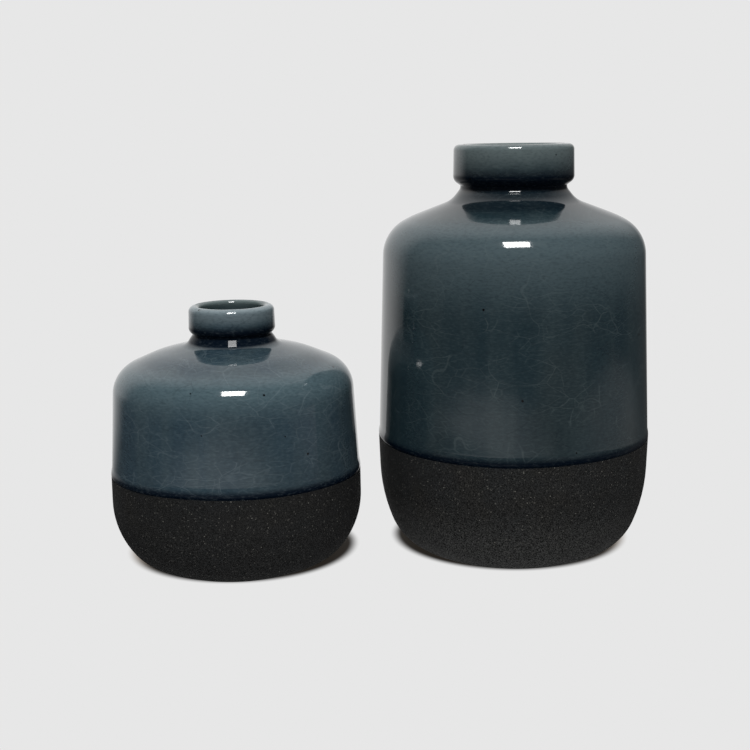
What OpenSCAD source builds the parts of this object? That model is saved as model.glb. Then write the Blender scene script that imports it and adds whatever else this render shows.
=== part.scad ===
// A pair of bottle vases for cut flowers: a tall one and a squat one beside it.
// Each is built as a potter builds it: a turned bowl, a wall section luted on top, a mouth collar
// luted on the neck, a sandy black coat on the bowl, and a glaze outside and inside.
// Millimetres, +Z up, origin at the centre of the tall vase's foot.

/* [Tall vase] */
// Height of the clay over the rim
tall_h = 239.6; // [200:0.2:300]
// Diameter of the clay at the glaze line
tall_belly_d = 158; // [135:1:190]
// Height of the glaze line above the table
tall_line_z = 70; // [56:1:90]
// Lean of the glaze line, lower at the front, in degrees
tall_line_lean = 1.5; // [0:0.25:3]
// Diameter of the foot
tall_foot_d = 95; // [75:1:110]
// Rounding of the heel, where the foot turns up into the flank
tall_heel_r = 36; // [15:1:45]
// Slope of the flank above the heel, in degrees
tall_flank_slope = 68; // [60:0.5:76]
// Height of the flank's corner, before it is rounded
tall_flank_z = 35; // [30:1:44]
// How far the flank's corner lies inside the glaze line, on the radius
tall_flank_in = 1.2; // [0:0.1:4]
// Rounding of the flank
tall_flank_r = 115; // [50:1:130]
// Diameter of the shoulder's corner, before it is rounded
tall_shoulder_d = 150.2; // [125:0.1:170]
// Rounding of the shoulder
tall_shoulder_r = 22; // [8:1:28]
// Slope of the shoulder's outer part, in degrees
tall_shoulder_slope = 28.5; // [18:0.5:34]
// Diameter of the shoulder where its slope changes
tall_crown_d = 119.6; // [90:0.2:125]
// Slope of the shoulder between there and the neck, in degrees
tall_crown_slope = 21; // [10:0.5:26]
// Diameter of the clay neck
tall_neck_d = 60; // [50:0.5:72]
// Thickness of the clay neck's wall
tall_neck_t = 4.2; // [3:0.1:7]
// Height of the neck between the shoulder and the collar
tall_neck_h = 2.5; // [1:0.1:12]
// Rounding of the cove under the collar, where the neck starts to flare
tall_cove_r = 7; // [3:0.5:15]
// Width of the flare between the neck and the shoulder
tall_flare_w = 5.7; // [2:0.1:9]
// Rounding where the flare runs into the shoulder
tall_flare_r = 16; // [4:0.5:30]
// How far the collar stands out from the neck
tall_collar_out = 4.2; // [2:0.1:8]
// Height of the collar
tall_collar_h = 22.1; // [14:0.1:30]
// Rounding of the collar's lower edge
tall_collar_r = 4; // [1:0.1:9]
// Rounding of the rim's outer edge
tall_rim_r = 2.4; // [1:0.1:3.5]

/* [Small vase] */
// Height of the clay over the rim
small_h = 151.3; // [130:0.1:190]
// Diameter of the clay at the glaze line
small_belly_d = 142.8; // [120:0.1:170]
// Height of the glaze line above the table
small_line_z = 55; // [46:1:66]
// Lean of the glaze line, lower at the front, in degrees
small_line_lean = -1; // [-3:0.25:0]
// Diameter of the foot
small_foot_d = 83; // [66:1:94]
// Rounding of the heel, where the foot turns up into the flank
small_heel_r = 24; // [15:1:40]
// Slope of the flank above the heel, in degrees
small_flank_slope = 52.5; // [46:0.5:60]
// Height of the flank's corner, before it is rounded
small_flank_z = 25; // [22:0.5:32]
// How far the flank's corner lies inside the glaze line, on the radius
small_flank_in = -0.2; // [-5:0.1:0]
// Rounding of the flank
small_flank_r = 46; // [25:1:64]
// Diameter of the shoulder's corner, before it is rounded
small_shoulder_d = 135.8; // [112:0.1:150]
// Rounding of the shoulder
small_shoulder_r = 17.5; // [8:0.5:26]
// Slope of the shoulder's outer part, in degrees
small_shoulder_slope = 23.5; // [14:0.5:28]
// Diameter of the shoulder where its slope changes
small_crown_d = 89.8; // [70:0.2:108]
// Slope of the shoulder between there and the neck, in degrees
small_crown_slope = 14; // [8:0.5:20]
// Diameter of the clay neck
small_neck_d = 44; // [36:0.1:52]
// Thickness of the clay neck's wall
small_neck_t = 2.7; // [2:0.1:5]
// Height of the neck between the shoulder and the collar
small_neck_h = 1.8; // [1:0.1:8]
// Rounding of the cove under the collar, where the neck starts to flare
small_cove_r = 4.5; // [2:0.1:9]
// Width of the flare between the neck and the shoulder
small_flare_w = 4.6; // [2:0.1:7]
// Rounding where the flare runs into the shoulder
small_flare_r = 9; // [3:0.5:20]
// How far the collar stands out from the neck
small_collar_out = 2; // [1.2:0.1:5]
// Height of the collar
small_collar_h = 14.5; // [12:0.1:24]
// Rounding of the collar's lower edge
small_collar_r = 4.5; // [1:0.1:7]
// Rounding of the rim's outer edge
small_rim_r = 2.6; // [1:0.1:3]

/* [Clay, coat and glaze] */
// Thickness of the clay wall
wall_t = 5.5; // [4:0.5:6.5]
// Thickness of the clay floor above the foot's recess
floor_t = 6; // [4:0.5:10]
// Rounding inside, where the floor runs into the wall
floor_r = 22; // [10:1:28]
// Width of the ring that the foot stands on
foot_w = 9; // [5:0.5:14]
// Depth of the recess inside the foot ring
foot_recess = 2.5; // [1:0.25:4]
// Height of the foot's bare upright edge
foot_edge = 0.8; // [0.4:0.1:2]
// Slope of the heel where it leaves the foot, in degrees
heel_slope = 22; // [12:1:26]
// Slope of the flare below the neck, in degrees
flare_slope = 52; // [40:1:65]
// Slope of the collar's underside, in degrees
collar_under = 36; // [30:1:65]
// Rounding along the change of the shoulder's slope
dome_r = 60; // [20:1:80]
// How much narrower the collar is at its top, on the radius
collar_draft = 0.4; // [0:0.1:1]
// Rounding of the rim's inner edge
rim_in_r = 1.3; // [0.8:0.1:2.4]
// Thickness of the black coat
coat_t = 1.2; // [1.1:0.1:2]
// Bare clay left between the table and the black coat
coat_clear = 1; // [0.8:0.1:2]
// Thickness of the outer glaze
glaze_t = 0.9; // [0.5:0.05:1]
// Height of the glaze's rolled lower edge
glaze_roll_h = 6; // [3:0.25:8]
// How far the rolled edge stands out from the glaze above it
glaze_roll_out = 0.35; // [0.2:0.05:0.6]
// Rounding under the rolled edge
glaze_roll_r = 1.3; // [0.9:0.1:1.5]
// Least rounding that the glaze leaves in a hollow corner
glaze_pool_r = 1.4; // [0.5:0.1:1.8]
// Thickness of the glaze inside
liner_t = 0.8; // [0.4:0.05:1]

/* [Placing] */
// Room between the two vases, measured between their widest corners
pair_gap = 11.1; // [4:0.1:60]
// How far the small vase stands in front of the tall one
small_forward = 21; // [-40:1:60]

/* [Hidden] */
$fn = 96;
arc_step = 4;         // degrees between the points of a rounding
key_in = 0.75;        // depth that the rolled edge is keyed in behind the face, in glaze thicknesses
run_in = 0.6;         // depth at which its upper end runs out behind the face, in glaze thicknesses
reach = 600;          // size of the blocks that cut along the glaze line

clay_colour = "#cdbfa6";
coat_colour = "#232324";
glaze_colour = "#4a565c";
liner_colour = "#566269";

// One vase's sizes, in the order that the functions below read them
TALL = [
    tall_h, tall_belly_d / 2, tall_line_z, tall_line_lean, tall_foot_d / 2, tall_heel_r,
    tall_flank_slope, tall_flank_z, tall_flank_in, tall_flank_r, tall_shoulder_d / 2, tall_shoulder_r,
    tall_shoulder_slope, tall_crown_slope, tall_neck_d / 2, tall_neck_t, tall_neck_h, tall_cove_r,
    tall_collar_out, tall_collar_h, tall_collar_r, tall_rim_r, tall_crown_d / 2,
    tall_flare_w, tall_flare_r
];
SMALL = [
    small_h, small_belly_d / 2, small_line_z, small_line_lean, small_foot_d / 2, small_heel_r,
    small_flank_slope, small_flank_z, small_flank_in, small_flank_r, small_shoulder_d / 2, small_shoulder_r,
    small_shoulder_slope, small_crown_slope, small_neck_d / 2, small_neck_t, small_neck_h, small_cove_r,
    small_collar_out, small_collar_h, small_collar_r, small_rim_r, small_crown_d / 2,
    small_flare_w, small_flare_r
];
function rim_z(v) = v[0];
function belly(v) = [v[1], v[2], 0];
function line_z(v) = v[2];
function line_lean(v) = v[3];
function foot_rad(v) = v[4];
function flank(v) = [v[1] - v[8], v[7], v[9]];
function widest(v) = max(belly(v)[0], flank(v)[0]) + coat_t;

// The heel's corner is where the slope up from the foot meets the slope down from the flank
function heel(v) =
    let (
        low = tan(heel_slope),
        steep = tan(v[6]),
        r = (flank(v)[0] * steep - flank(v)[1] + foot_edge - foot_rad(v) * low) / (steep - low)
    )
    [r, foot_edge + (r - foot_rad(v)) * low, v[5]];

// The shoulder hangs from the flare, the flare from the neck, and the neck from the collar
function collar_z(v) = v[0] - v[19];
function neck(v) = [v[14], collar_z(v) - v[16], v[17]];
function bore_rad(v) = v[14] - v[15];
function flare(v) = [v[14] + v[23], neck(v)[1] - v[23] * tan(flare_slope), v[24]];
function crown(v) = [v[22], flare(v)[1] - (v[22] - flare(v)[0]) * tan(v[13]), dome_r];
function shoulder(v) = [v[10], crown(v)[1] - (v[10] - crown(v)[0]) * tan(v[12]), v[11]];
function collar_rad(v) = v[14] + v[18];
function collar_edge_z(v) = collar_z(v) + v[18] * tan(collar_under);
function collar_round(v) = v[20];
function rim_round(v) = v[21];
function crest_rad(v) = (bore_rad(v) + rim_in_r + collar_rad(v) - collar_draft - rim_round(v)) / 2;

// Where the small vase stands
small_x = -widest(TALL) - pair_gap - widest(SMALL);
small_at = [small_x, -small_forward, 0];

// Outside of the clay from the foot's edge up to the rim's crest, as corners [radius, height, rounding]
function low_outside(v) = [[foot_rad(v), 0, 0], [foot_rad(v), foot_edge, 0], heel(v), flank(v), belly(v)];
function body_outside(v) = [
    belly(v), shoulder(v), crown(v), flare(v), neck(v), [neck(v)[0], collar_z(v), 0]
];
function collar_outside(v) = [
    [neck(v)[0], collar_z(v), 0],
    [collar_rad(v), collar_edge_z(v), collar_round(v)],
    [collar_rad(v) - collar_draft, rim_z(v), rim_round(v)],
    [crest_rad(v), rim_z(v), 0]
];

// Inside of the clay from the middle of the floor up to the rim's crest. Under the shoulder it runs
// straight, at the slope of the shoulder's two ends
function inner_slope(v) = atan2(flare(v)[1] - shoulder(v)[1], shoulder(v)[0] - flare(v)[0]);
function inner_neck_z(v) =
    flare(v)[1] - wall_t / cos(inner_slope(v)) + (flare(v)[0] - bore_rad(v)) * tan(inner_slope(v));
function inner_shoulder(v) =
    let (r = shoulder(v)[0] - wall_t)
    [r, inner_neck_z(v) - (r - bore_rad(v)) * tan(inner_slope(v)), max(shoulder(v)[2] - wall_t, 2)];
function low_inside(v) = [
    [0, foot_recess + floor_t, 0],
    [heel(v)[0] - wall_t, foot_recess + floor_t, floor_r],
    [min(flank(v)[0], belly(v)[0]) - wall_t, flank(v)[1], flank(v)[2] / 2],
    [belly(v)[0] - wall_t, line_z(v), 0]
];
function body_inside(v) = [
    [belly(v)[0] - wall_t, line_z(v), 0],
    inner_shoulder(v),
    [bore_rad(v), inner_neck_z(v), neck(v)[2] / 2],
    [bore_rad(v), collar_z(v), 0]
];
function collar_inside(v) = [
    [bore_rad(v), collar_z(v), 0], [bore_rad(v), rim_z(v), rim_in_r], [crest_rad(v), rim_z(v), 0]
];

// Joins lines of corners end to end, where each starts on the last corner of the one before
function joined(a, b) = concat([for (i = [0:1:len(a) - 2]) a[i]], b);
function reversed(p) = [for (i = [len(p) - 1:-1:0]) p[i]];
function flat(c) = [c[0], c[1]];
function ahead(c, i) = (flat(c[i + 1]) - flat(c[i])) / norm(flat(c[i + 1]) - flat(c[i]));
function right_of(d) = [d[1], -d[0]];
function turn(c, i) =
    let (a = ahead(c, i - 1), b = ahead(c, i))
    atan2(a[0] * b[1] - a[1] * b[0], a[0] * b[0] + a[1] * b[1]);

// Length that a rounding takes from the lines beside its corner, limited to the room on those lines
function wanted(c, i) = i <= 0 || i >= len(c) - 1 ? 0 : c[i][2] * tan(abs(turn(c, i)) / 2);
function room(c, i) = norm(flat(c[i + 1]) - flat(c[i])) / max(wanted(c, i) + wanted(c, i + 1), 0.001);
function taken(c, i) = wanted(c, i) * min(1, room(c, i - 1), room(c, i));

// Points of a line of corners, with an arc at each rounded corner
function rounded(c) = [for (i = [0:1:len(c) - 1]) each corner_points(c, i)];
function corner_points(c, i) =
    wanted(c, i) < 0.001 ? [flat(c[i])] :
    let (
        a = turn(c, i),
        t = taken(c, i),
        r = t / tan(abs(a) / 2),
        start = flat(c[i]) - t * ahead(c, i - 1),
        inward = -sign(a) * right_of(ahead(c, i - 1)),
        middle = start + r * inward,
        n = max(2, ceil(abs(a) / arc_step))
    )
    [for (k = [0:1:n]) middle + turned_by(-r * inward, a * k / n)];
function turned_by(p, a) = [p[0] * cos(a) - p[1] * sin(a), p[0] * sin(a) + p[1] * cos(a)];

// The same line of corners moved out by d, on the right of its direction. A hollow corner loses d of
// its rounding, but no less than pool is left in it, and a corner that stands out gains d.
function grown(c, d, pool = 0) =
    [for (i = [0:1:len(c) - 1]) concat(moved(c, i, d), [regrown(c, i, d, pool)])];
function moved(c, i, d) =
    i == 0 ? flat(c[0]) + d * right_of(ahead(c, 0)) :
    i == len(c) - 1 ? flat(c[i]) + d * right_of(ahead(c, i - 1)) :
    let (m = right_of(ahead(c, i - 1)), n = right_of(ahead(c, i)))
    flat(c[i]) + d * (m + n) / (1 + m * n);
function regrown(c, i, d, pool) =
    i == 0 || i == len(c) - 1 ? 0 :
    turn(c, i) * d < 0 ? max(c[i][2] - abs(d), pool) :
    c[i][2] > 0 ? c[i][2] + abs(d) : 0;

// A ring or shell of revolution between two lines of points
module turned(out, in) rotate_extrude() polygon(concat(out, reversed(in)));

// Everything below the glaze line of a vase
module under_line(v)
    translate([0, 0, line_z(v)]) rotate([line_lean(v), 0, 0]) translate([-reach / 2, -reach / 2, -reach])
        cube(reach);

// Turned bowl of pale clay, with its floor and foot ring
module bowl(v) {
    recess_rad = foot_rad(v) - foot_w;
    under = [[0, foot_recess], [recess_rad - foot_recess, foot_recess], [recess_rad, 0]];
    color(clay_colour) turned(concat(under, rounded(low_outside(v))), rounded(low_inside(v)));
}

// Wall section of pale clay, luted on the bowl: the upright wall, the shoulder and the neck
module wall(v) color(clay_colour) turned(rounded(body_outside(v)), rounded(body_inside(v)));

// Thick ring of pale clay luted on the neck, which makes the mouth
module collar(v) color(clay_colour) turned(rounded(collar_outside(v)), rounded(collar_inside(v)));

// Sandy black coat on the bowl, from just above the foot up to the glaze line
module base_coat(v) {
    clay = concat(low_outside(v), [shoulder(v)]);
    color(coat_colour) difference() {
        intersection() {
            turned(rounded(grown(clay, coat_t)), rounded(clay));
            under_line(v);
        }
        translate([-reach / 2, -reach / 2, -reach + coat_clear]) cube(reach);
    }
}

// Outer glaze from the glaze line over the shoulder, neck and collar to the rim's crest
module glaze(v) {
    clay = joined(concat([flank(v)], body_outside(v)), collar_outside(v));
    color(glaze_colour) difference() {
        union() {
            turned(rounded(grown(clay, glaze_t, glaze_pool_r)), rounded(clay));
            glaze_roll(v);
        }
        under_line(v);
    }
}

// Rolled lower edge of the glaze, where it ran down and stopped on the black coat
module glaze_roll(v) {
    face = belly(v)[0] + glaze_t;
    inner = face - key_in * glaze_t;
    deep = glaze_roll_out + key_in * glaze_t;
    rise = glaze_roll_h - glaze_roll_r;
    drop = glaze_roll_out + run_in * glaze_t;
    bend = (rise * rise + drop * drop) / (2 * drop);
    translate([0, 0, line_z(v)]) rotate([line_lean(v), 0, 0]) rotate_extrude() {
        intersection() {
            translate([inner, glaze_roll_r]) square([deep, rise]);
            translate([face + glaze_roll_out - bend, glaze_roll_r]) circle(bend);
        }
        intersection() {
            translate([inner, 0]) square([deep, glaze_roll_r]);
            translate([face + glaze_roll_out - glaze_roll_r, glaze_roll_r]) circle(glaze_roll_r);
        }
    }
}

// Glaze inside, over the floor, up the wall and out to the rim's crest
module liner(v) {
    clay = joined(joined(low_inside(v), body_inside(v)), collar_inside(v));
    color(liner_colour) turned(rounded(clay), rounded(grown(clay, -liner_t)));
}

bowl(TALL);  // tall_bowl
wall(TALL);  // tall_wall
collar(TALL);  // tall_collar
base_coat(TALL);  // tall_base_coat
glaze(TALL);  // tall_glaze
liner(TALL);  // tall_liner
translate(small_at) bowl(SMALL);  // small_bowl
translate(small_at) wall(SMALL);  // small_wall
translate(small_at) collar(SMALL);  // small_collar
translate(small_at) base_coat(SMALL);  // small_base_coat
translate(small_at) glaze(SMALL);  // small_glaze
translate(small_at) liner(SMALL);  // small_liner
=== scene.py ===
import math

import bmesh
import bpy
from mathutils import Matrix, Vector, noise


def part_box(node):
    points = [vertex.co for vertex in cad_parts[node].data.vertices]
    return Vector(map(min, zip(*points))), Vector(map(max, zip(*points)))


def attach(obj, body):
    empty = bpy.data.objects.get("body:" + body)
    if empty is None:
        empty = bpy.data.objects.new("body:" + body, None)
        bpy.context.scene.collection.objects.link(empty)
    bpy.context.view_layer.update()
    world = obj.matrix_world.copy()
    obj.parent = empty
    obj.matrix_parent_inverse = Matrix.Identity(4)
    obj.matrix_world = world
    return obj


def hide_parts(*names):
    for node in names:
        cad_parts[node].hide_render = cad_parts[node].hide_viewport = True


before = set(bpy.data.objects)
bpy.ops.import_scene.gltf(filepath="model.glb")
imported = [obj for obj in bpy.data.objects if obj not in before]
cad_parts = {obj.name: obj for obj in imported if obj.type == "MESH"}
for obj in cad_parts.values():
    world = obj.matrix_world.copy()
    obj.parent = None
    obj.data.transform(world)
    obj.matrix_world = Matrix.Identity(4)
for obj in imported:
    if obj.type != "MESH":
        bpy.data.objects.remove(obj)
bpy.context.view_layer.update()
scene = bpy.context.scene
scene.view_settings.view_transform = "Standard"
print("frame loaded:", len(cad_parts), "nodes")


# Helpers for shader nodes
def startMaterial(name):
    material = bpy.data.materials.new(name)
    material.use_nodes = True
    tree = material.node_tree
    return material, tree, tree.nodes["Principled BSDF"]


def put(tree, kind, sockets=None, **settings):
    node = tree.nodes.new(kind)
    for key, value in settings.items():
        setattr(node, key, value)
    for key, value in (sockets or {}).items():
        if isinstance(value, bpy.types.NodeSocket):
            tree.links.new(value, node.inputs[key])
        else:
            node.inputs[key].default_value = value
    return node


def ranged(tree, value, low, high, toLow=0.0, toHigh=1.0):
    sockets = {0: value, 1: low, 2: high, 3: toLow, 4: toHigh}
    return put(tree, "ShaderNodeMapRange", sockets, interpolation_type="SMOOTHSTEP").outputs[0]


def maths(tree, operation, a, b):
    return put(tree, "ShaderNodeMath", {0: a, 1: b}, operation=operation).outputs[0]


def vectors(tree, operation, *values, output=0):
    return put(tree, "ShaderNodeVectorMath", dict(enumerate(values)), operation=operation).outputs[output]


def mixed(tree, amount, a, b):
    node = put(tree, "ShaderNodeMix", {0: amount}, data_type="RGBA")
    for index, value in ((6, a), (7, b)):
        if isinstance(value, bpy.types.NodeSocket):
            tree.links.new(value, node.inputs[index])
        else:
            node.inputs[index].default_value = (*value, 1)
    return node.outputs[2]


# Place on a vase measured from its own axis, stretched by the three scales
def placeOn(tree, axis, scales):
    coords = put(tree, "ShaderNodeTexCoord").outputs["Object"]
    return vectors(tree, "MULTIPLY", vectors(tree, "SUBTRACT", coords, axis), scales)


def noiseOn(tree, axis, scales, detail, output=0):
    sockets = {"Vector": placeOn(tree, axis, scales), "Scale": 1, "Detail": detail}
    return put(tree, "ShaderNodeTexNoise", sockets).outputs[output]


def cellsOn(tree, axis, cells):
    return put(tree, "ShaderNodeTexVoronoi", {"Vector": placeOn(tree, axis, (cells, cells, cells)), "Scale": 1})


# Blue-grey glaze: thin and pale on the collar, paler on the shoulder as thinner glaze and painted light from above,
# pooled dark at the line, and dark under the collar and in the neck's hollow as pooled glaze and painted shade
glazeGrain = {
    "streaks": (70, 70, 6), "clouds": (14, 14, 9), "wisps": (420, 420, 1100),  # waves to the metre
    "bend": (26, 26, 26), "bendBy": (1.3, 1.3, 1.3), "fade": (34, 34, 60),
    "nets": (((30, 30, 62), 0.015, 1.0), ((80, 80, 170), 0.036, 0.6)),  # cells to the metre, line width, weight
    "holes": 60, "holeSize": (0.034, 0.050), "holeColour": (0.002, 0.002, 0.003),
    "wave": (26, 26, 40), "waveHeight": 0.002, "sunk": -0.05,
    "roughness": (0.05, 0.09), "shine": (0.5, 0.06),  # shine of thin and of pooled glaze
}


def glazeMaterial(name, look):
    material, tree, shader = startMaterial(name)
    axis = look["axis"]
    streaks = noiseOn(tree, axis, glazeGrain["streaks"], 4)
    clouds = noiseOn(tree, axis, glazeGrain["clouds"], 3)
    crown = put(tree, "ShaderNodeAttribute", attribute_name="crown").outputs["Fac"]
    thin = put(tree, "ShaderNodeAttribute", attribute_name="thin").outputs["Fac"]
    pool = put(tree, "ShaderNodeAttribute", attribute_name="pool").outputs["Fac"]

    colour = mixed(tree, ranged(tree, streaks, 0.35, 0.68), look["deep"], look["light"])
    colour = mixed(tree, ranged(tree, clouds, 0.45, 0.75, 0.0, 0.7), colour, look["brown"])
    # Paler crown on the shoulder: partly thinner glaze, partly painted light from above
    colour = mixed(tree, crown, colour, look["crown"])
    colour = mixed(tree, thin, colour, look["pale"])
    # Navy: real pooling at the glaze line; under the collar and in the neck's hollow, pooled glaze and painted
    # shade together
    colour = mixed(tree, pool, colour, look["navy"])

    # Crackle: a wide net of bent lines over a finer and fainter one, some lines pale and some dark
    bend = noiseOn(tree, axis, glazeGrain["bend"], 2, "Color")
    fade = noiseOn(tree, axis, glazeGrain["fade"], 2)
    line = 0.0
    for cells, width, weight in glazeGrain["nets"]:
        bent = vectors(tree, "MULTIPLY_ADD", bend, glazeGrain["bendBy"], placeOn(tree, axis, cells))
        net = put(tree, "ShaderNodeTexVoronoi", {"Vector": bent, "Scale": 1}, feature="DISTANCE_TO_EDGE")
        edge = ranged(tree, net.outputs["Distance"], width * 0.4, width, weight, 0.0)
        line = maths(tree, "MAXIMUM", line, edge)
    line = maths(tree, "MULTIPLY", line, ranged(tree, pool, 0.1, 0.9, 1.0, 0.15))  # hardly seen in thick glaze
    paleLine = maths(tree, "MULTIPLY", line, ranged(tree, fade, 0.40, 0.56, 0.0, look["crack"]))
    darkLine = maths(tree, "MULTIPLY", line, ranged(tree, fade, 0.36, 0.50, 1.1 * look["crack"], 0.0))
    colour = mixed(tree, paleLine, colour, look["pale"])
    colour = mixed(tree, darkLine, colour, look["navy"])

    # Short fine wisps all over
    wisps = noiseOn(tree, axis, glazeGrain["wisps"], 2)
    colour = mixed(tree, ranged(tree, wisps, 0.50, 0.76, 0.0, look["wisp"]), colour, look["pale"])
    colour = mixed(tree, ranged(tree, wisps, 0.26, 0.56, 2.4 * look["wisp"], 0.0), colour, look["navy"])

    # Small dark pinholes
    spots = cellsOn(tree, axis, glazeGrain["holes"])
    hole = ranged(tree, spots.outputs["Distance"], *glazeGrain["holeSize"], 1.0, 0.0)
    colour = mixed(tree, hole, colour, glazeGrain["holeColour"])

    # The fired surface waves a little, and the cracks and holes are sunk in it
    wave = noiseOn(tree, axis, glazeGrain["wave"], 2)
    sunk = maths(tree, "MULTIPLY", maths(tree, "ADD", line, hole), glazeGrain["sunk"])
    height = maths(tree, "ADD", wave, sunk)
    sockets = {"Strength": look["wave"], "Distance": glazeGrain["waveHeight"], "Height": height}
    bumps = put(tree, "ShaderNodeBump", sockets)
    tree.links.new(colour, shader.inputs["Base Color"])
    tree.links.new(bumps.outputs[0], shader.inputs["Normal"])
    tree.links.new(ranged(tree, clouds, 0.3, 0.7, *glazeGrain["roughness"]), shader.inputs["Roughness"])
    tree.links.new(ranged(tree, pool, 0.55, 1.0, *glazeGrain["shine"]), shader.inputs["Specular IOR Level"])
    shader.inputs["IOR"].default_value = look["ior"]
    return material


# Matte black coat with sand in it: fine grain, some pale specks and a gritty bump; lighter low down as painted
# light bounced from the table, and black at the foot as painted contact shade
coatLook = {
    "black": (0.0028, 0.0030, 0.0030), "clouds": (38, 38, 38), "grain": (1500, 1500, 1500),
    "low": (0.010, 0.048), "turn": (0.0015, 0.0045),  # heights of the painted bounce light low on the coat and of the painted contact shade at the foot
    "specks": ((700, 0.34, (0.052, 0.051, 0.046)), (470, 0.19, (0.125, 0.122, 0.108))),  # cells, size, colour
    "grit": 0.5, "gritHeight": 0.0006, "roughness": (0.72, 0.9), "shine": 0.25,
}


def coatMaterial(name, look):
    material, tree, shader = startMaterial(name)
    axis = look["axis"]
    clouds = noiseOn(tree, axis, coatLook["clouds"], 3)
    grain = noiseOn(tree, axis, coatLook["grain"], 2)
    height = put(tree, "ShaderNodeSeparateXYZ", {0: placeOn(tree, axis, (1, 1, 1))}).outputs[2]
    sandAndBounce = mixed(tree, ranged(tree, clouds, 0.35, 0.68), *look["sand"])
    # Painted light: lighter low down, as if lit from the table below
    sandAndBounce = mixed(tree, ranged(tree, height, *coatLook["low"], 1.0, 0.0), sandAndBounce, look["paintedBounce"])
    colour = mixed(tree, ranged(tree, grain, 0.32, 0.72), coatLook["black"], sandAndBounce)
    # Painted shade: black just above the foot, where the vase meets the table
    colour = mixed(tree, ranged(tree, height, *coatLook["turn"], 1.0, 0.0), colour, coatLook["black"])
    for cells, size, tone in coatLook["specks"]:
        sand = cellsOn(tree, axis, cells)
        speck = ranged(tree, sand.outputs["Distance"], size * 0.6, size, 1.0, 0.0)
        some = put(tree, "ShaderNodeSeparateColor", {0: sand.outputs["Color"]}).outputs[0]
        colour = mixed(tree, maths(tree, "MULTIPLY", speck, ranged(tree, some, 0.50, 1.0)), colour, tone)
    sockets = {"Strength": coatLook["grit"], "Distance": coatLook["gritHeight"], "Height": grain}
    bumps = put(tree, "ShaderNodeBump", sockets)
    tree.links.new(colour, shader.inputs["Base Color"])
    tree.links.new(bumps.outputs[0], shader.inputs["Normal"])
    tree.links.new(ranged(tree, grain, 0.3, 0.7, *coatLook["roughness"]), shader.inputs["Roughness"])
    shader.inputs["Specular IOR Level"].default_value = coatLook["shine"]
    return material


# Bare fired clay of the bowl, wall and collar
clayLook = {
    "dark": (0.42, 0.31, 0.21), "light": (0.62, 0.50, 0.37), "clouds": 60, "grit": 700,
    "bump": 0.3, "bumpHeight": 0.0005, "roughness": 0.85,
}


def clayMaterial():
    material, tree, shader = startMaterial("bare clay")
    coords = put(tree, "ShaderNodeTexCoord").outputs["Object"]
    clouds = put(tree, "ShaderNodeTexNoise", {"Vector": coords, "Scale": clayLook["clouds"], "Detail": 4})
    grit = put(tree, "ShaderNodeTexNoise", {"Vector": coords, "Scale": clayLook["grit"], "Detail": 2})
    colour = mixed(tree, clouds.outputs[0], clayLook["dark"], clayLook["light"])
    sockets = {"Strength": clayLook["bump"], "Distance": clayLook["bumpHeight"], "Height": grit.outputs[0]}
    bumps = put(tree, "ShaderNodeBump", sockets)
    tree.links.new(colour, shader.inputs["Base Color"])
    tree.links.new(bumps.outputs[0], shader.inputs["Normal"])
    shader.inputs["Roughness"].default_value = clayLook["roughness"]
    return material


# Turns the section of a CAD node round its vase's axis, finely and evenly
def turnedFrom(nodeName, vase):
    axis = vase["axis"]
    bm = bmesh.new()
    bm.from_mesh(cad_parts[nodeName].data)
    bmesh.ops.remove_doubles(bm, verts=bm.verts, dist=2e-6)
    every = bm.verts[:] + bm.edges[:] + bm.faces[:]
    bmesh.ops.bisect_plane(bm, geom=every, dist=1e-7, plane_co=axis, plane_no=(1, 0, 0), clear_inner=True)
    every = bm.verts[:] + bm.edges[:] + bm.faces[:]
    cut = bmesh.ops.bisect_plane(bm, geom=every, dist=1e-7, plane_co=axis, plane_no=(0, 1, 0))["geom_cut"]
    kept = {e for e in cut if isinstance(e, bmesh.types.BMEdge)}
    bmesh.ops.delete(bm, geom=bm.faces[:], context="FACES_ONLY")
    bmesh.ops.delete(bm, geom=[e for e in bm.edges if e not in kept], context="EDGES")
    bmesh.ops.delete(bm, geom=[v for v in bm.verts if not v.link_edges], context="VERTS")
    bmesh.ops.remove_doubles(bm, verts=bm.verts, dist=5e-6)
    for longest in (0.012, 0.006, 0.003):
        halves = [e for e in bm.edges if e.calc_length() > longest]
        bmesh.ops.subdivide_edges(bm, edges=halves, cuts=1)
    section = bm.verts[:] + bm.edges[:]
    bmesh.ops.spin(
        bm, geom=section, cent=axis, axis=(0, 0, 1), angle=math.tau, steps=vase["steps"], use_merge=True
    )
    bmesh.ops.remove_doubles(bm, verts=bm.verts, dist=5e-6)
    bmesh.ops.recalc_face_normals(bm, faces=bm.faces)
    return bm


def smooth(value, low, high):
    part = min(1.0, max(0.0, (value - low) / (high - low)))
    return part * part * (3 - 2 * part)


# The glaze line leans and wanders a little, and what lies near it goes along
lineReach = 0.03
lineWaves = 1.6  # how often the line wanders on its way round


def leanLine(bm, vase):
    slope = math.tan(math.radians(vase["lean"]))
    for vert in bm.verts:
        x, y = vert.co.x - vase["axis"].x, vert.co.y - vase["axis"].y
        near = 1 - smooth(abs(vert.co.z - vase["line"]), 0.0, lineReach)
        around = Vector((x, y, 0)).normalized() * lineWaves
        wander = noise.noise(around + Vector((0, 0, vase["seed"]))) * vase["wander"]
        vert.co.z += (y * slope + wander) * near


creaseAngle = math.radians(32)


def pieceFrom(bm, name, vase, material, node):
    for edge in bm.edges:
        edge.smooth = len(edge.link_faces) < 2 or edge.calc_face_angle(0) < creaseAngle
    mesh = bpy.data.meshes.new(name)
    bm.to_mesh(mesh)
    bm.free()
    mesh.polygons.foreach_set("use_smooth", [True] * len(mesh.polygons))
    mesh.materials.append(material)
    piece = bpy.data.objects.new(name, mesh)
    scene.collection.objects.link(piece)
    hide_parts(node)
    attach(piece, vase["body"])
    return piece


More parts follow.
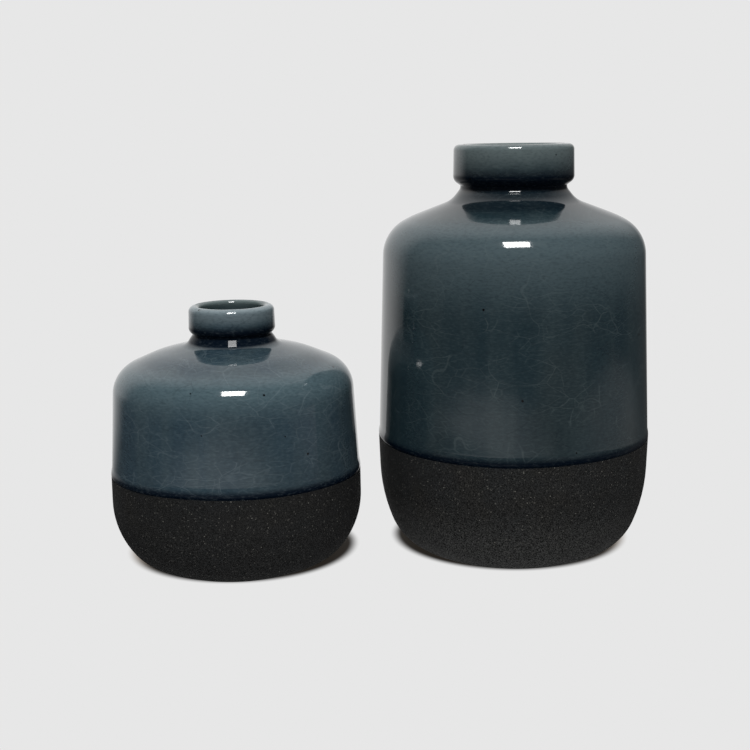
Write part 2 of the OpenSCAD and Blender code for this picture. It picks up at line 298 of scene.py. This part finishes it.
# Tall vase: the glaze line is lower at the front
tallVase = {
    "name": "tall", "body": "tall_vase", "lean": 1.5, "wander": 0.0006, "seed": 3.1, "steps": 192,
    "paleHeight": (0.143, 0.188), "crownRadius": (0.051, 0.070), "rimBand": (0.26, 1.0), "lip": 0.0,
    "hollow": 0.66, "hollowRadius": (0.042, 0.051), "neckDark": (0.001, 0.008), "dip": 0.0,
    "shadowR": 0.072, "shadowBack": 0.021, "shadowTone": (-0.050, 0.065),
    "deep": (0.0126, 0.0250, 0.0312), "light": (0.0200, 0.0335, 0.0390), "brown": (0.0205, 0.0270, 0.0288),
    "crown": (0.0560, 0.0810, 0.0910), "pale": (0.1000, 0.1270, 0.1300), "navy": (0.0008, 0.0026, 0.0065),
    "sand": ((0.0210, 0.0225, 0.0232), (0.0242, 0.0232, 0.0210)), "paintedBounce": (0.0640, 0.0655, 0.0640),
    "crack": 0.17, "wisp": 0.09, "wave": 0.05, "ior": 1.55,
}
# Small vase: bluer glaze, and the line is lower at the back
smallVase = {
    "name": "small", "body": "small_vase", "lean": -1.0, "wander": 0.0006, "seed": 8.4, "steps": 192,
    "paleHeight": (0.093, 0.117), "crownRadius": (0.050, 0.066), "rimBand": (0.30, 0.85), "lip": 0.38,
    "hollow": 0.12, "hollowRadius": (0.027, 0.045), "neckDark": (0.0045, 0.0078), "dip": 0.0004,
    "shadowR": 0.069, "shadowBack": 0.025, "shadowTone": (-0.010, -0.065),
    "deep": (0.0240, 0.0445, 0.0600), "light": (0.0370, 0.0590, 0.0710), "brown": (0.0330, 0.0470, 0.0540),
    "crown": (0.0620, 0.0970, 0.1120), "pale": (0.1680, 0.2110, 0.2290), "navy": (0.0008, 0.0028, 0.0075),
    "sand": ((0.0150, 0.0160, 0.0168), (0.0178, 0.0172, 0.0158)), "paintedBounce": (0.0270, 0.0280, 0.0285),
    "crack": 0.17, "wisp": 0.09, "wave": 0.05, "ior": 1.55,
}
linerLook = {
    "deep": (0.030, 0.048, 0.052), "light": (0.045, 0.066, 0.070), "brown": (0.040, 0.050, 0.052),
    "crown": (0.06, 0.09, 0.10), "pale": (0.10, 0.13, 0.13), "navy": (0.010, 0.018, 0.022),
    "crack": 0.10, "wisp": 0.06, "wave": 0.04, "ior": 1.55,
}
# How the glaze ran, with painted shade under the collar and in the neck's hollow, the same on both: bands go from 0
# at the neck to 1 at the rim
glazeRunAndShade = {
    "lipBand": (0.88, 1.0), "underBand": (0.18, 0.50), "footHeight": (0.0020, 0.0062),
    "footPool": 0.97, "neckPoolAndShade": 0.95, "dipBelow": 0.0056, "dipHalf": 0.0030,
}
clay = clayMaterial()

for vase in (tallVase, smallVase):
    name = vase["name"]
    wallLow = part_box(name + "_wall")[0]
    collarLow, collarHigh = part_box(name + "_collar")
    vase["axis"] = Vector(((collarLow.x + collarHigh.x) / 2, (collarLow.y + collarHigh.y) / 2, 0))
    vase["line"] = wallLow.z
    neckZ, rimZ = collarLow.z, collarHigh.z

    bm = turnedFrom(name + "_glaze", vase)
    thinLayer = bm.verts.layers.float.new("thin")
    crownLayer = bm.verts.layers.float.new("crown")
    poolLayer = bm.verts.layers.float.new("pool")
    for vert in bm.verts:
        height = vert.co.z
        outward = vert.co.xy - vase["axis"].xy
        radius = outward.length
        band = (height - neckZ) / (rimZ - neckZ)
        lip = 1 - vase["lip"] + vase["lip"] * smooth(band, *glazeRunAndShade["lipBand"])
        vert[thinLayer] = smooth(band, *vase["rimBand"]) * lip
        # Crown mask on the shoulder: partly thinner glaze, partly painted light from above
        vert[crownLayer] = smooth(height, *vase["paleHeight"]) * smooth(radius, *vase["crownRadius"])
        foot = 1 - smooth(height - vase["line"], *glazeRunAndShade["footHeight"])
        # Under the collar and in the neck's hollow: partly pooled glaze, partly painted shade
        under = 1 - smooth(band, *glazeRunAndShade["underBand"])
        if band < 0:
            fade = 1 - smooth(radius, *vase["hollowRadius"])
            near = 1 - smooth(neckZ - height, *vase["neckDark"])
            under = fade * max(vase["hollow"], near)
        vert[poolLayer] = max(glazeRunAndShade["footPool"] * foot, glazeRunAndShade["neckPoolAndShade"] * under)
        offset = (height - neckZ + glazeRunAndShade["dipBelow"]) / glazeRunAndShade["dipHalf"]
        dip = vase["dip"] * max(0.0, 1 - offset ** 2) ** 2  # hollows the foot of the neck a little
        vert.co.xy = vase["axis"].xy + outward * (1 - dip / radius)
    leanLine(bm, vase)
    pieceFrom(bm, name + "_glaze_skin", vase, glazeMaterial(name + " glaze", vase), name + "_glaze")

    bm = turnedFrom(name + "_base_coat", vase)
    leanLine(bm, vase)
    coat = coatMaterial(name + " coat", vase)
    pieceFrom(bm, name + "_coat_skin", vase, coat, name + "_base_coat")

    bm = turnedFrom(name + "_liner", vase)
    thinLayer = bm.verts.layers.float.new("thin")
    poolLayer = bm.verts.layers.float.new("pool")
    for vert in bm.verts:
        vert[thinLayer] = smooth(vert.co.z, rimZ - 0.003, rimZ + 0.0004)
        # Inside: darker towards the bottom
        vert[poolLayer] = 1 - smooth(vert.co.z, 0.0, neckZ - 0.01)
    inner = glazeMaterial(name + " inside", {**linerLook, "axis": vase["axis"]})
    pieceFrom(bm, name + "_inside_skin", vase, inner, name + "_liner")

    for part in ("bowl", "wall", "collar"):
        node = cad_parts[name + "_" + part]
        node.data.materials.clear()
        node.data.materials.append(clay)
    print(name, "vase built on axis", tuple(round(c, 4) for c in vase["axis"]))

# Pale glowing table with a painted shadow under each vase. In the glaze its mirror image is a painted reflection:
# white behind the vases and in front of them to the left, dull to the right, and dark close to their feet as
# painted shade
table = {
    "size": 6.0, "grey": 0.799, "dark": 0.05,
    "bright": (-0.24, -0.47, 0), "white": 0.50, "brightReach": (0.12, 0.52), "feetReach": (0.30, 0.46),
    "side": (0.60, -0.10, 0), "dull": 0.20, "sideReach": (0.15, 0.45),
    "back": (-0.342, 0.940, 0.0), "backEdge": (0.56, 0.92),
    "shadow": ((0.030, 0.027, 0.024), (0.330, 0.290, 0.250)), "contact": (0.020, 0.017, 0.014),
    "shadowEdge": (-0.005, 0.0025), "reach": 0.04, "covered": (0.55, 0.80), "touching": (0.12, 0.52),
}
bm = bmesh.new()
bmesh.ops.create_grid(bm, x_segments=1, y_segments=1, size=table["size"] / 2)
mesh = bpy.data.meshes.new("table")
bm.to_mesh(mesh)
bm.free()
floor = bpy.data.objects.new("table", mesh)
scene.collection.objects.link(floor)
material, tree, shader = startMaterial("pale table")
path = put(tree, "ShaderNodeLightPath")
mirrored = maths(tree, "ADD", path.outputs["Is Glossy Ray"], path.outputs["Is Transmission Ray"])
place = put(tree, "ShaderNodeNewGeometry").outputs["Position"]


def distanceTo(point):
    return vectors(tree, "DISTANCE", place, point, output="Value")


# White in a cone to the back, for the table and for the room above it
def backLight(tree, direction, dark):
    flat = vectors(tree, "NORMALIZE", vectors(tree, "MULTIPLY", direction, (1, 1, 0)))
    facing = vectors(tree, "DOT_PRODUCT", flat, table["back"], output="Value")
    return ranged(tree, facing, *table["backEdge"], dark, table["grey"])


close = ranged(tree, distanceTo(table["bright"]), *table["brightReach"], table["white"], 0.0)
for vase in (tallVase, smallVase):
    close = maths(tree, "MULTIPLY", close, ranged(tree, distanceTo(vase["axis"]), *table["feetReach"]))
beside = ranged(tree, distanceTo(table["side"]), *table["sideReach"], table["dull"], 0.0)
patches = maths(tree, "ADD", maths(tree, "ADD", close, beside), table["dark"])
mirror = maths(tree, "MAXIMUM", patches, backLight(tree, place, table["dark"]))

# Painted shadow: a disc set back under each vase's belly, placed where the soft box in front would throw its
# shadow, shown only while the vase stands there
openness = put(tree, "ShaderNodeAmbientOcclusion", {"Distance": table["reach"]}, samples=16).outputs["AO"]
covered = ranged(tree, openness, *table["covered"], 1.0, 0.0)
touching = ranged(tree, openness, *table["touching"], 1.0, 0.0)
seen = maths(tree, "SUBTRACT", 1.0, path.outputs["Is Diffuse Ray"])
across = put(tree, "ShaderNodeSeparateXYZ", {0: place}).outputs[0]
paint = mixed(tree, mirrored, (table["grey"],) * 3, mirror)
for vase in (tallVase, smallVase):
    middle = vase["axis"] + Vector((0, vase["shadowBack"], 0))
    edges = [vase["shadowR"] + step for step in table["shadowEdge"]]
    shade = ranged(tree, distanceTo(middle), *edges, 1.0, 0.0)
    shade = maths(tree, "MULTIPLY", maths(tree, "MULTIPLY", shade, covered), seen)
    ends = [middle.x + step for step in vase["shadowTone"]]
    tone = mixed(tree, ranged(tree, across, *ends), *table["shadow"])
    tone = mixed(tree, touching, tone, table["contact"])  # painted contact shade, darkest at the foot
    paint = mixed(tree, shade, paint, tone)
glow = put(tree, "ShaderNodeEmission", {"Color": paint, "Strength": 1})
tree.links.new(glow.outputs[0], tree.nodes["Material Output"].inputs["Surface"])
tree.nodes.remove(shader)
mesh.materials.append(material)
print("table laid")

# Studio: white above and behind the vases, dark in front of them, and one soft box above the camera
studio = {
    "top": 0.80, "front": 0.07, "lit": (0, 0.6, 0.8), "litEdge": (0.50, 0.95),
    "box": (0.80, 0.72), "boxPower": 75, "boxAt": (-0.04, -1.42, 2.45), "boxAim": (-0.08, 0, 0.12),
}
world = bpy.data.worlds.new("studio")
scene.world = world
world.use_nodes = True
tree = world.node_tree
tree.nodes.clear()
way = put(tree, "ShaderNodeTexCoord").outputs["Generated"]
above = vectors(tree, "DOT_PRODUCT", way, studio["lit"], output="Value")
above = ranged(tree, above, *studio["litEdge"], 0.0, studio["top"])
level = maths(tree, "MAXIMUM", backLight(tree, way, studio["front"]), above)
path = put(tree, "ShaderNodeLightPath")
room = put(tree, "ShaderNodeBackground", {"Color": level, "Strength": 1})
plain = put(tree, "ShaderNodeBackground", {"Color": (table["grey"],) * 3 + (1,), "Strength": 1})
both = put(tree, "ShaderNodeMixShader", {0: path.outputs["Is Camera Ray"], 1: room.outputs[0], 2: plain.outputs[0]})
put(tree, "ShaderNodeOutputWorld", {"Surface": both.outputs[0]})

lamp = bpy.data.lights.new("soft box", "AREA")
lamp.shape = "RECTANGLE"
lamp.size, lamp.size_y = studio["box"]
lamp.energy = studio["boxPower"]
lampObject = bpy.data.objects.new("soft box", lamp)
lampObject.location = studio["boxAt"]
aim = Vector(studio["boxAim"]) - Vector(studio["boxAt"])
lampObject.rotation_euler = aim.to_track_quat("-Z", "Y").to_euler()
scene.collection.objects.link(lampObject)
print("studio lit")

# Camera at the photograph's angle
view = {"at": (-0.0821, -0.7623, 0.2538), "down": 11.0, "roll": -0.85, "lens": 62.4, "sensor": 36}
camera = bpy.data.cameras.new("camera")
camera.lens = view["lens"]
camera.sensor_width = view["sensor"]
cameraObject = bpy.data.objects.new("camera", camera)
tilt = Matrix.Rotation(math.radians(90 - view["down"]), 4, "X")
roll = Matrix.Rotation(math.radians(view["roll"]), 4, "Z")
cameraObject.matrix_world = Matrix.Translation(view["at"]) @ tilt @ roll
scene.collection.objects.link(cameraObject)
scene.camera = cameraObject
print("camera set")
